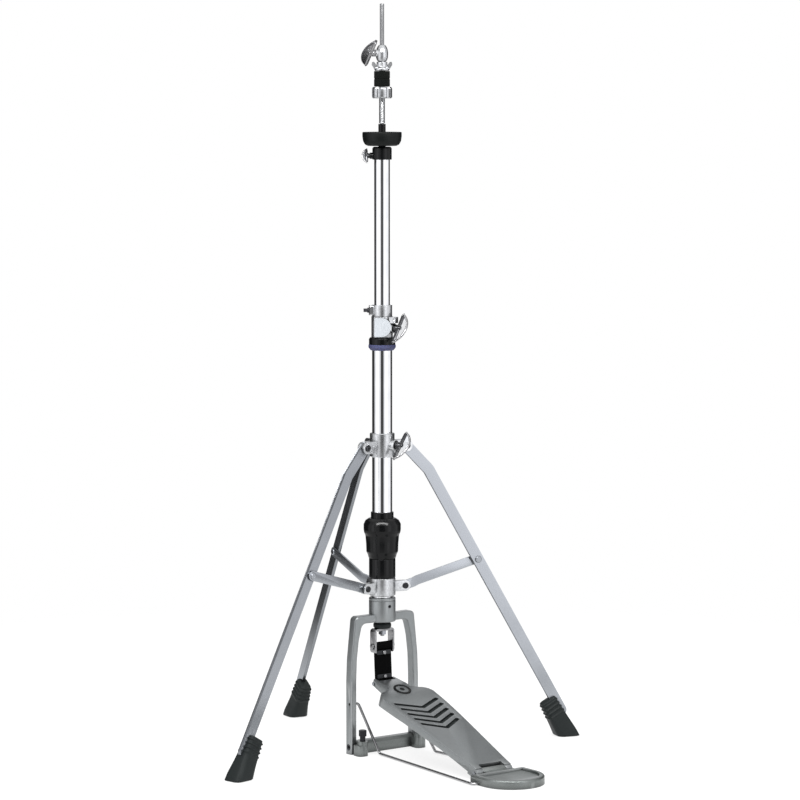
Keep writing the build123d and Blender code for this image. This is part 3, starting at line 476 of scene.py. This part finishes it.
BLACK_MATT = surface("black_plastic_matt", (0.002, 0.0028, 0.0026), (0.005, 0.0062, 0.006),
                     1600.0, 0.0, (0.34, 0.46), 0.3, 0.08, wear=(0.014, 0.017, 0.017),
                     sockets={"Specular IOR Level": 0.16})
BLUE = surface("blue_nylon", (0.042, 0.046, 0.105), (0.066, 0.071, 0.15), 900.0, 0.0,
               (0.35, 0.48), 0.15, 0.06,
               sockets={"Subsurface Weight": 0.05, "Specular IOR Level": 0.25})
BLACK_STEEL = surface("black_steel", (0.010, 0.011, 0.012), (0.024, 0.025, 0.028), 1500.0, 0.5,
                      (0.28, 0.4), 0.2, 0.05, wear=(0.10, 0.10, 0.11),
                      sockets={"Specular IOR Level": 0.25})
WIRE_STEEL = surface("dark_wire", (0.33, 0.33, 0.335), (0.43, 0.43, 0.438), 1800.0, 1.0,
                     (0.22, 0.32), 0.2, 0.04, wear=(0.25, 0.25, 0.26))
RUBBER = surface("rubber", (0.007, 0.0095, 0.0095), (0.013, 0.017, 0.017), 1700.0, 0.0,
                 (0.45, 0.6), 0.5, 0.12, wear=(0.022, 0.026, 0.026),
                 sockets={"Specular IOR Level": 0.2})
FELT = surface("felt", (0.002, 0.003, 0.0025), (0.008, 0.009, 0.008), 2600.0, 0.0, (0.9, 1.0), 1.0,
               0.6, stretch=(1, 1, 2.2),
               sockets={"Sheen Weight": 0.02, "Sheen Roughness": 0.6, "Specular IOR Level": 0.05})
STRAP = woven("strap_webbing", (0.0012, 0.0012, 0.0013), (0.003, 0.003, 0.0032), 260.0)


# -------------------------------------------------------------------- mast

def ring_piece(name, node, outline, material, steps=96, sharp=35.0, extra=(), shape=None):
    """Turned piece from an (r, z, corner radius) outline, with any extra shells joined on."""
    bm = joined(lathe(rounded(outline), steps, shape), *extra)
    finish_piece(name, bm, node, material, sharp)


ring_piece("mast_lower_tube", "lower_tube",
           [(12.7, 192, 0), (14.3, 192, 0.3), (14.3, 612, 0.7), (12.7, 612, 0.3)], CHROME)
ring_piece("mast_upper_tube", "upper_tube",
           [(9.8, 500, 0.3), (11.1, 500, 0.5), (11.1, 853, 0.5), (9.8, 853, 0.3)], CHROME)
ring_piece("pull_rod_top", "pull_rod_upper",
           [(0, 560, 0), (3.0, 560, 0.3), (3.0, 1059, 1.3), (0, 1059, 0)], ROD_STEEL, 48)
ring_piece("pull_rod_foot", "pull_rod_lower",
           [(0, 164, 0), (3.0, 164, 0.6), (3.0, 535, 0.5), (5.0, 535, 0.6), (5.0, 572, 0.6),
            (3.05, 572, 0.2), (3.05, 560.2, 0), (0, 560.2, 0)], ROD_STEEL, 48)

softened("height_clamp", CHROME_CAST, 0.9)
ring_piece("clamp_black_band", "clamp_band",
           [(14.35, 580.6, 0.2), (18.7, 580.6, 0.5), (18.7, 588.4, 1.2), (16.7, 590.8, 0.8),
            (14.35, 590.8, 0.2)], BLACK_GLOSS)
ring_piece("clamp_blue_flange", "clamp_flange",
           [(14.35, 572.4, 0.2), (16.3, 572.4, 0.8), (19.3, 576.4, 1.5), (19.3, 580.0, 0.5),
            (18.6, 580.6, 0.3), (14.35, 580.6, 0.2)], BLUE)
softened("memory_lock", CHROME_CAST, 0.8)
softened("memory_bolt", BLACK_STEEL, 0.5)

# Brushed D-shaped face on the clamp, drawn as (sideways, z) and stood up square to its azimuth
half_round = [(-1.0 + 13.5 * math.cos(math.radians(t)), 605.5 + 13.5 * math.sin(math.radians(t)), 0)
              for t in range(-90, 91, 6)]
pad = slab(rounded([(-11.0, 619.0, 1.5), (-11.0, 592.0, 1.5)] + half_round), 0, 0.5, 0.2)
pad.transform(Matrix(((0, 0, 1, 0), (1, 0, 0, 0), (0, 1, 0, 0), (0, 0, 0, 1))))
pad.transform(turn_z(PAD_AZ) @ move(16.1, 0, 0))
finish_piece("clamp_face_plate", pad, None, BRUSHED, 40, BODY_OF["height_clamp"])


# -------------------------------------------------------------- wing bolts

# Colours of the web, rim and spine of a wing: bright chrome web, with rim and spine in darker
# chrome as painted shade
BRIGHT_WEB_SHADED_RIM_SPINE = (CHROME, CHROME_GREY, CHROME_PAINTED_SHADE)


def wing(name, node, azimuth, radius, height, turn, shank, hub, size, thick, tones):
    """D-shaped wing: thin web in a rolled rim, with a thick spine across the end of a tapered hub.

    shank and hub are (radius, length) pairs, size is the wing's reach and span and tones are
    the colours of web, rim and spine, where the darker chrome copies are painted shade.
    """
    reach, span = size
    chord = hub[1] * 0.6
    deep = reach - chord
    arc_r = (deep ** 2 + (span / 2) ** 2) / (2 * deep)
    half = math.asin(min(1.0, span / 2 / arc_r))
    points = [(chord, -span / 2, thick * 0.8)]
    for k in range(1, 24):
        angle = -half + 2 * half * k / 24
        points.append((reach - arc_r + arc_r * math.cos(angle), arc_r * math.sin(angle), 0))
    points.append((chord, span / 2, thick * 0.8))
    outline = rounded(points)
    rim_r = thick * 0.34
    line = [(p.x, 0, p.y) for p in inset(outline, rim_r)]
    rim = tube(line, rim_r, closed=True, sides=16)
    web = upright(slab(inset(outline, rim_r), -thick * 0.22, thick * 0.22, 0.3))
    finish_piece(name, placed(web, azimuth, radius, height, turn), node, tones[0], sharp=50)
    finish_piece(name + "_rim", placed(rim, azimuth, radius, height, turn), None, tones[1], 50,
                 BODY_OF[node])

    spine_r = thick * 0.66
    end = span / 2 - thick * 0.7
    spine = lathe(rounded([(0, -end, 0), (spine_r, -end, spine_r), (spine_r, end, spine_r),
                           (0, end, 0)]), 32)
    spine.transform(move(chord + spine_r * 0.6, 0, 0))
    cone = along_x(rounded([(0, 0, 0), (hub[0], 0, 0.8), (hub[0], hub[1] * 0.45, 1.5),
                            (thick * 0.6, hub[1] * 1.3, 1.2), (0, hub[1] * 1.3, 0)]))
    pin = barrel(shank[0], -shank[1], 1.0, 0.6)
    grip = placed(joined(spine, cone, pin), azimuth, radius, height, turn)
    finish_piece(name + "_spine", grip, None, tones[2], 50, BODY_OF[node])


# Darker chrome copies in the tones paint shade into the wing rims, spines and the smaller webs.
wing("height_wing", "height_wing_bolt", CLAMP_BOLT_AZ, 21.3, 604.0, -36, (3.0, 5.5), (5.5, 9.0),
     (21.0, 50.0), 5.0, BRIGHT_WEB_SHADED_RIM_SPINE)
wing("leg_wing", "leg_wing_bolt", CLAMP_BOLT_AZ, 24.3, 438.0, -43, (3.0, 7.8), (5.5, 9.0),
     (22.0, 50.0), 5.0, BRIGHT_WEB_SHADED_RIM_SPINE)
wing("clutch_wing", "clutch_wing_bolt", CLUTCH_BOLT_AZ, 11.8, 990.0, -42, (3.0, 5.8), (5.0, 8.0),
     (20.0, 48.0), 4.5, (CHROME_GREY, CHROME_PAINTED_SHADE, CHROME_GREY))
wing("tilter_wing", "tilter_screw", TILTER_AZ, 17.8, 846.5, 20, (2.0, 4.5), (3.6, 5.0),
     (11.0, 22.0), 3.0, (CHROME_PAINTED_SHADE, CHROME_GREY, CHROME_PAINTED_SHADE))


# ------------------------------------------------------------- cymbal seat

ring_piece("seat_black_cup", "seat_cup",
           [(7.5, 860.1, 0.3), (13.0, 860.1, 0.8), (13.0, 865.1, 0.4), (17.5, 865.1, 0.4),
            (17.5, 861.2, 0.4), (20.0, 860.1, 1.5), (24.0, 862.1, 3.0), (26.8, 867.1, 4.0),
            (27.7, 873.8, 3.0), (27.7, 879.8, 1.4), (23.7, 879.8, 1.2), (21.7, 877.8, 1.0),
            (7.5, 877.8, 0.5)], BLACK_MATT)
ring_piece("seat_black_sleeve", "seat_sleeve",
           [(4.45, 853, 0.2), (7.2, 853, 0.2), (7.2, 859.2, 0.4), (5.2, 859.2, 0.4),
            (5.2, 891, 0.8), (4.45, 891, 0.2)], BLACK_GLOSS, 64,
           extra=[placed(barrel(1.5, 4.8, 10.0, 0.3, 24), TILTER_AZ + 90 + 180 * k, 0, 866)
                  for k in range(2)])
ring_piece("mast_top_cap", "top_cap",
           [(11.15, 841, 0.2), (13.7, 841, 0.7), (13.7, 859.2, 3.2), (7.25, 859.2, 0.3),
            (7.25, 853.1, 0), (11.15, 853.1, 0)], BLACK_GLOSS,
           extra=[placed(barrel(4.5, 12.0, 17.5, 0.7, 40), TILTER_AZ, 0, 846.5)])


# ------------------------------------------------------------------ clutch

THREAD_PITCH = 1.3
THREAD_DEPTH = 0.4
THREAD_BORE = 4.5


def threads(angle, r, z):
    """Screw thread on the lower end of the clutch tube."""
    if r < 4 or not 893 < z < 926:
        return r
    return r - THREAD_DEPTH * abs((z / THREAD_PITCH - angle / (2 * math.pi)) % 1.0 * 2 - 1)


def six_lobes(angle, r, z):
    """Rounded notches in the rim of the bottom nut, which fade out towards its bore."""
    if r < 6:
        return r
    return r - (r - THREAD_BORE) * 0.24 * max(0.0, math.cos(6 * angle + math.pi)) ** 0.7


ring_piece("clutch_threaded_tube", "clutch_tube",
           [(3.15, 892, 0), (4.3, 892, 0)]
           + [(4.3, 892.5 + THREAD_PITCH / 4 * k, 0) for k in range(106)]
           + [(4.3, 982, 0), (3.15, 982, 0)], ROD_STEEL, 48, 60, shape=threads)
ring_piece("clutch_barrel", "clutch_body",
           [(4.35, 978, 0), (5.7, 978, 0.6), (7.3, 980.5, 2.0), (8.4, 984, 4.0), (8.6, 991, 5.0),
            (7.6, 996, 4.0), (6.2, 999, 2.0), (4.4, 1001.3, 0.8), (3.15, 1001.3, 0.2),
            (3.15, 982.2, 0), (4.35, 982.2, 0)], CHROME_CAST, 72, 40,
           extra=[placed(barrel(5.0, 5.0, 11.5, 0.7, 40), CLUTCH_BOLT_AZ, 0, 990)])
horns = []
for side in (-1, 1):
    horn = [(side * 6.0, 968.3, 0.5), (side * 10.6, 967.3, 1.0), (side * 14.4, 973.3, 1.4),
            (side * 13.9, 977.7, 1.0), (side * 10.9, 977.7, 1.0), (side * 7.2, 972.8, 1.5),
            (side * 6.0, 972.8, 0.3)]
    plate = upright(slab(rounded(horn), -2.5, 2.5, 0.9))
    plate.transform(turn_z(HORN_AZ))
    horns.append(plate)
ring_piece("clutch_locking_nut", "lock_nut",
           [(4.45, 965.3, 0.2), (10.6, 965.3, 1.4), (10.6, 968.8, 1.0), (7.5, 970.8, 1.0),
            (7.5, 977.7, 0.6), (4.45, 977.7, 0.2)], CHROME_CAST, 72, 40, extra=horns)
ring_piece("clutch_lower_nut", "bottom_nut",
           [(4.45, 926.7, 0.2), (12.9, 926.7, 1.0), (14.4, 928.7, 1.5), (14.4, 940.4, 1.5),
            (12.9, 942.9, 1.0), (4.45, 942.9, 0.2)], CHROME_CAST, 144, 40, shape=six_lobes)
washers = [lathe(rounded([(4.35, low, 0.3), (11.2, low, 1.3), (11.2, low + 10.9, 1.3),
                          (4.35, low + 10.9, 0.3)]), 72) for low in (943.2, 954.1)]
finish_piece("clutch_felt_washers", joined(*washers), "clutch_felts", FELT, sharp=60)


# ------------------------------------------------------------------ tripod

def leg_outline(half):
    """Bent bar with round ends in the plane of a leg."""
    first = (LEG_LINE[1] - LEG_LINE[0]).normalized()
    second = (LEG_LINE[2] - LEG_LINE[1]).normalized()
    across = [Vector((-d.y, d.x)) * half for d in (first, second)]
    corner = (across[0] + across[1]).normalized() * half / math.cos(across[0].angle(across[1]) / 2)
    start = LEG_LINE[0] - first * half
    end = LEG_LINE[2] + second * half
    points = [(*(start + across[0]), half - 0.1), (*(LEG_LINE[1] + corner), 14.0),
              (*(end + across[1]), half - 0.1), (*(end - across[1]), half - 0.1),
              (*(LEG_LINE[1] - corner), 6.0), (*(start - across[0]), half - 0.1)]
    return rounded(points)


# Ribs of the foot, as distances along its axis from the floor
RIBS_FROM = 37.0
RIBS_TO = 61.5
RIB_PITCH = 6.4


def foot_section(height):
    """Width, depth and corner radius of the moulded foot at a height along its axis."""
    knots = [(-16.0, 30.0, 33.0, 9.0), (4.0, 30.5, 31.0, 8.5), (25.2, 28.0, 24.0, 7.0),
             (45.0, 26.0, 19.5, 5.5), (63.0, 24.5, 16.5, 5.0)]
    for low, high in zip(knots, knots[1:]):
        if height <= high[0]:
            t = (height - low[0]) / (high[0] - low[0])
            return [a + (b - a) * t for a, b in zip(low[1:], high[1:])]
    return list(knots[-1][1:])


def foot_mesh():
    """Moulded foot: tapered boot with four ribs near the top, cut flat at the floor."""
    levels = [-16.0 + 3.0 * k for k in range(18)] + [37.2 + 0.6 * k for k in range(43)]
    bm = bmesh.new()
    rings = []
    for h in levels:
        width, depth, corner = foot_section(h)
        rib = 0.0
        if h > RIBS_FROM:
            wave = math.sin(2 * math.pi * (h - RIBS_FROM) / RIB_PITCH)
            rib = 2.0 * max(0.0, wave) ** 0.6 - 0.5
        if h > RIBS_TO:
            rib = -2.2 * (h - RIBS_TO)
        half_w, half_d = width / 2 + rib * 0.6, depth / 2 + rib * 0.6
        outline = rounded([(-half_w, -half_d, corner), (half_w, -half_d, corner),
                           (half_w, half_d, corner), (-half_w, half_d, corner)])
        rings.append([bm.verts.new((p.x, p.y, h)) for p in outline])
    for lower, upper in zip(rings, rings[1:]):
        for k in range(len(lower)):
            m = (k + 1) % len(lower)
            bm.faces.new((lower[k], lower[m], upper[m], upper[k]))
    bm.faces.new(rings[0])
    bm.faces.new(rings[-1])
    lean = math.atan2(LEG_LINE[2].x - LEG_LINE[1].x, LEG_LINE[1].y - LEG_LINE[2].y)
    bm.transform(move(FOOT_AT[0], 0, FOOT_AT[1]) @ Matrix.Rotation(-lean, 4, "Y"))
    whole = bm.verts[:] + bm.edges[:] + bm.faces[:]
    bmesh.ops.bisect_plane(bm, geom=whole, plane_co=(0, 0, 0), plane_no=(0, 0, 1),
                           clear_inner=True)
    rim = [e for e in bm.edges if e.is_boundary]
    sole = bmesh.ops.contextual_create(bm, geom=rim)["faces"]
    bmesh.ops.bevel(bm, geom=[e for f in sole for e in f.edges], offset=2.0, segments=3,
                    profile=0.5, affect="EDGES")
    return cleaned(bm)


for name, azimuth in LEG_AZIMUTHS.items():
    bar = upright(slab(leg_outline(LEG_HALF_WIDTH), -LEG_HALF_THICK, LEG_HALF_THICK, 0.8))
    bar.transform(turn_z(azimuth))
    finish_piece(f"leg_bar_{name}", bar, f"leg_{name}", SATIN, sharp=40)
    boot = foot_mesh()
    boot.transform(turn_z(azimuth))
    finish_piece(f"leg_foot_{name}", boot, f"foot_{name}", RUBBER, sharp=50)
    softened(f"brace_{name}", BRACE_STEEL, 0.5)
softened("leg_collar", CHROME_CAST, 0.7)
softened("brace_collar", CHROME_CAST, 0.7)


# ---------------------------------------------------------------- adjuster

ring_piece("adjuster_housing", "spring_housing",
           [(14.35, 248.5, 0.2), (18.85, 248.5, 0.9), (18.85, 276.0, 0.8), (16.2, 276.0, 0.3),
            (16.2, 342.4, 1.6), (14.35, 342.4, 0.3)], BLACK_GLOSS)
ring_piece("adjuster_knob", "tension_knob",
           [(16.5, 276.3, 0.4), (19.2, 276.3, 0.9), (20.6, 281.5, 2.0), (22.6, 285.5, 3.0),
            (23.0, 297.0, 10.0), (24.0, 309.0, 4.0), (25.8, 313.0, 2.5), (26.5, 317.0, 2.0),
            (26.5, 324.8, 2.5), (23.8, 330.4, 3.0), (18.6, 333.8, 1.5), (16.5, 333.8, 0.4)],
           BLACK_GLOSS, 128)


# -------------------------------------------------------------- base frame

softened("frame_yoke", CAST, 0.6)
softened("base_crossbar", CAST_DARK, 0.9)


def spur_grip(angle, r, z):
    """Ten rounded flutes around the head of a spur."""
    if z < 27.5 or r < 5:
        return r
    return r - 0.7 * max(0.0, math.cos(10 * angle)) ** 0.6


for side, name in ((-1, "left"), (1, "right")):
    spur = lathe(rounded([(0, 1.0, 0), (3.0, 6.0, 0.6), (4.0, 6.8, 0.4), (4.0, 28.0, 0.3),
                          (5.6, 28.0, 0.8), (5.6, 37.0, 1.2), (2.4, 37.0, 0.3), (2.0, 35.5, 0.3),
                          (0, 35.5, 0)]), 120, spur_grip)
    spur.transform(move(side * SPUR_X, SPUR_Y, 0))
    finish_piece(f"spur_screw_{name}", spur, f"spur_{name}", BLACK_STEEL, sharp=40)
    bend_x, bend_y = WIRE_BENDS[name]
    route = [(side * 58.0, -2.0, 72.0), (side * 44.5, -2.0, 72.0), (side * bend_x, bend_y, 2.4),
             (side * 54.0, -275.0, 2.4), (side * 39.0, -275.0, 2.4)]
    wire = tube(bent(route, 5.0), WIRE_R)
    finish_piece(f"wire_{name}", wire, f"radius_rod_{name}", WIRE_STEEL, sharp=60)


# ------------------------------------------------------------------- pedal

BOARD = move(0, HINGE_Y, HINGE_Z) @ Matrix.Rotation(math.radians(BOARD_ANGLE), 4, "X")
softened("footboard", CAST, 0.7)
softened("heel_plate", CAST_DARK, 0.7)
softened("board_bumper", RUBBER, 1.0)
badge = joined(lathe(rounded([(9.4, 8.5, 0.1), (13.0, 8.5, 0.1), (13.0, 9.3, 0.35),
                              (9.4, 9.3, 0.35)]), 96),
               lathe(rounded([(0, 8.5, 0), (3.5, 8.5, 0.1), (3.5, 9.3, 0.3), (0, 9.3, 0)]), 96))
badge.transform(BOARD @ move(0, BADGE_UP, 0))
field = lathe(rounded([(0, 8.45, 0), (9.8, 8.45, 0.1), (9.8, 8.72, 0.05), (0, 8.72, 0)]), 96)
field.transform(BOARD @ move(0, BADGE_UP, 0))
finish_piece("board_ring_field", field, None, CAST, sharp=50, ride="pedal")
grip = slab(rounded([(-36.0, 92.0, 4.0), (36.0, 92.0, 4.0), (42.0, 194.0, 4.0),
                     (-42.0, 194.0, 4.0)]), 3.3, 4.85, 0.3)
grip.transform(BOARD)
finish_piece("board_grip_sheet", grip, None, RUBBER, ride="pedal")
finish_piece("board_ring", badge, "board_emblem", BLACK_GLOSS, sharp=50)
softened("stirrup", CHROME_GREY, 0.8)
softened("stirrup_pin", CHROME_GREY, 0.5)
ring_piece("rod_rubber_stop", "rod_bumper",
           [(3.05, 175.5, 0.2), (11.0, 175.5, 0.8), (12.8, 177.3, 1.2), (12.8, 181.5, 1.2),
            (11.4, 183.2, 0.8), (3.05, 183.2, 0.3)], RUBBER)
softened("strap", STRAP, 0.6)
softened("strap_clamps", BLACK_STEEL, 0.4)
softened("strap_screws", CHROME_GREY, 0.4)

# Small pieces that are shown as their CAD meshes, in these finishes
CARRIED = {"tension_spring": SATIN, "frame_screws": BLACK_STEEL, "toe_pin": SATIN,
           "hinge_pin": SATIN, "rod_nuts": SATIN, "leg_pivot_rivets": BLACK_STEEL,
           "brace_pivot_rivets": BLACK_STEEL, "leg_rivet_right": SATIN, "leg_rivet_back": SATIN,
           "leg_rivet_left": SATIN}
for node, material in CARRIED.items():
    for place in frame["nodes"][node].material_slots:
        place.material = material


# ------------------------------------------------------------------- stage

scene = bpy.context.scene
scene.view_settings.view_transform = "Standard"


def floor():
    """Pale disk that fades out before the horizon."""
    bm = bmesh.new()
    bmesh.ops.create_circle(bm, cap_ends=True, segments=96, radius=1.5)
    mesh = bpy.data.meshes.new("floor")
    bm.to_mesh(mesh)
    bm.free()
    disk = bpy.data.objects.new("floor", mesh)
    disk.location.z = -0.0005
    scene.collection.objects.link(disk)
    material = bpy.data.materials.new("pale_floor")
    material.use_nodes = True
    nodes = material.node_tree.nodes
    link = material.node_tree.links.new
    shader = nodes["Principled BSDF"]
    shader.inputs["Base Color"].default_value = (0.25, 0.25, 0.25, 1.0)
    shader.inputs["Roughness"].default_value = 0.9
    shader.inputs["Specular IOR Level"].default_value = 0.1
    shader.inputs["Emission Color"].default_value = (1.0, 1.0, 1.0, 1.0)
    shader.inputs["Emission Strength"].default_value = 0.79
    place = nodes.new("ShaderNodeTexCoord")
    reach = nodes.new("ShaderNodeVectorMath")
    reach.operation = "LENGTH"
    link(place.outputs["Object"], reach.inputs[0])
    fade = nodes.new("ShaderNodeMapRange")
    fade.interpolation_type = "SMOOTHSTEP"
    fade.inputs["From Min"].default_value = 0.55
    fade.inputs["From Max"].default_value = 1.4
    fade.inputs["To Min"].default_value = 1.0
    fade.inputs["To Max"].default_value = 0.0
    link(reach.outputs["Value"], fade.inputs["Value"])
    link(fade.outputs["Result"], shader.inputs["Alpha"])
    mesh.materials.append(material)


def studio():
    """Soft white studio: bright panels beside the camera, dark gaps, bright ceiling."""
    world = bpy.data.worlds.new("studio")
    scene.world = world
    world.use_nodes = True
    nodes = world.node_tree.nodes
    link = world.node_tree.links.new
    nodes.clear()
    place = nodes.new("ShaderNodeTexCoord")
    turned = nodes.new("ShaderNodeMapping")
    turned.inputs["Rotation"].default_value = (0, 0, math.radians(90.0 - CAMERA_AZ))
    link(place.outputs["Generated"], turned.inputs["Vector"])
    around = nodes.new("ShaderNodeTexGradient")
    around.gradient_type = "RADIAL"
    link(turned.outputs["Vector"], around.inputs["Vector"])
    panels = nodes.new("ShaderNodeValToRGB")
    # (share of a full turn, brightness), with the camera at 0.5
    stops = [(0.0, 1.0), (0.02, 1.0), (0.04, 0.04), (0.22, 0.04), (0.25, 1.0), (0.30, 1.0),
             (0.32, 1.9), (0.37, 1.9), (0.39, 1.0), (0.44, 1.0), (0.462, 0.07), (0.538, 0.07),
             (0.56, 1.0), (0.59, 1.0), (0.61, 1.9), (0.65, 1.9), (0.67, 1.1), (0.785, 1.1),
             (0.825, 0.05), (0.96, 0.05), (0.98, 1.0), (1.0, 1.0)]
    ramp = panels.color_ramp
    while len(ramp.elements) < len(stops):
        ramp.elements.new(0.5)
    for element, (position, value) in zip(ramp.elements, stops):
        element.position = position
        element.color = (value, value, value * 1.02, 1.0)
    link(around.outputs["Fac"], panels.inputs["Fac"])

    split = nodes.new("ShaderNodeSeparateXYZ")
    link(place.outputs["Generated"], split.inputs["Vector"])
    last = panels.outputs["Color"]
    # ceiling and ground glow, each blended in between two heights of the direction
    for start, end, level in ((0.50, 0.85, 1.05), (-0.35, -0.70, 0.60)):
        rise = nodes.new("ShaderNodeMapRange")
        rise.inputs["From Min"].default_value = start
        rise.inputs["From Max"].default_value = end
        link(split.outputs["Z"], rise.inputs["Value"])
        mixed = nodes.new("ShaderNodeMix")
        mixed.data_type = "RGBA"
        link(rise.outputs["Result"], mixed.inputs["Factor"])
        link(last, mixed.inputs["A"])
        mixed.inputs["B"].default_value = (level, level, level, 1.0)
        last = mixed.outputs["Result"]
    around_light = nodes.new("ShaderNodeBackground")
    link(last, around_light.inputs["Color"])
    backdrop = nodes.new("ShaderNodeBackground")
    backdrop.inputs["Color"].default_value = (1.0, 1.0, 1.0, 1.0)
    seen = nodes.new("ShaderNodeLightPath")
    choice = nodes.new("ShaderNodeMixShader")
    link(seen.outputs["Is Camera Ray"], choice.inputs["Fac"])
    link(around_light.outputs["Background"], choice.inputs[1])
    link(backdrop.outputs["Background"], choice.inputs[2])
    output = nodes.new("ShaderNodeOutputWorld")
    link(choice.outputs["Shader"], output.inputs["Surface"])


def lamp(name, place, target, size, power):
    """Rectangular area lamp that points from its place at a target."""
    light = bpy.data.lights.new(name, "AREA")
    light.shape = "RECTANGLE"
    light.size, light.size_y = size
    light.energy = power
    lamp_object = bpy.data.objects.new(name, light)
    lamp_object.location = place
    aim = Vector(target) - Vector(place)
    lamp_object.rotation_euler = aim.to_track_quat("-Z", "Y").to_euler()
    scene.collection.objects.link(lamp_object)


floor()
studio()
lamp("overhead", (0.2, -0.3, 2.6), (0, 0, 0.2), (2.4, 2.4), 4)
lamp("key", (-0.80, -1.05, 1.75), (0, 0, 0.35), (2.4, 0.2), 40)

camera = bpy.data.cameras.new("camera")
camera.lens = CAMERA_LENS
camera.sensor_width = 36.0
camera_object = bpy.data.objects.new("camera", camera)
camera_object.location = CAMERA_PLACE
camera_object.rotation_euler = (math.radians(CAMERA_TILT), 0.0, math.radians(CAMERA_AZ))
scene.collection.objects.link(camera_object)
scene.camera = camera_object

bpy.context.view_layer.update()
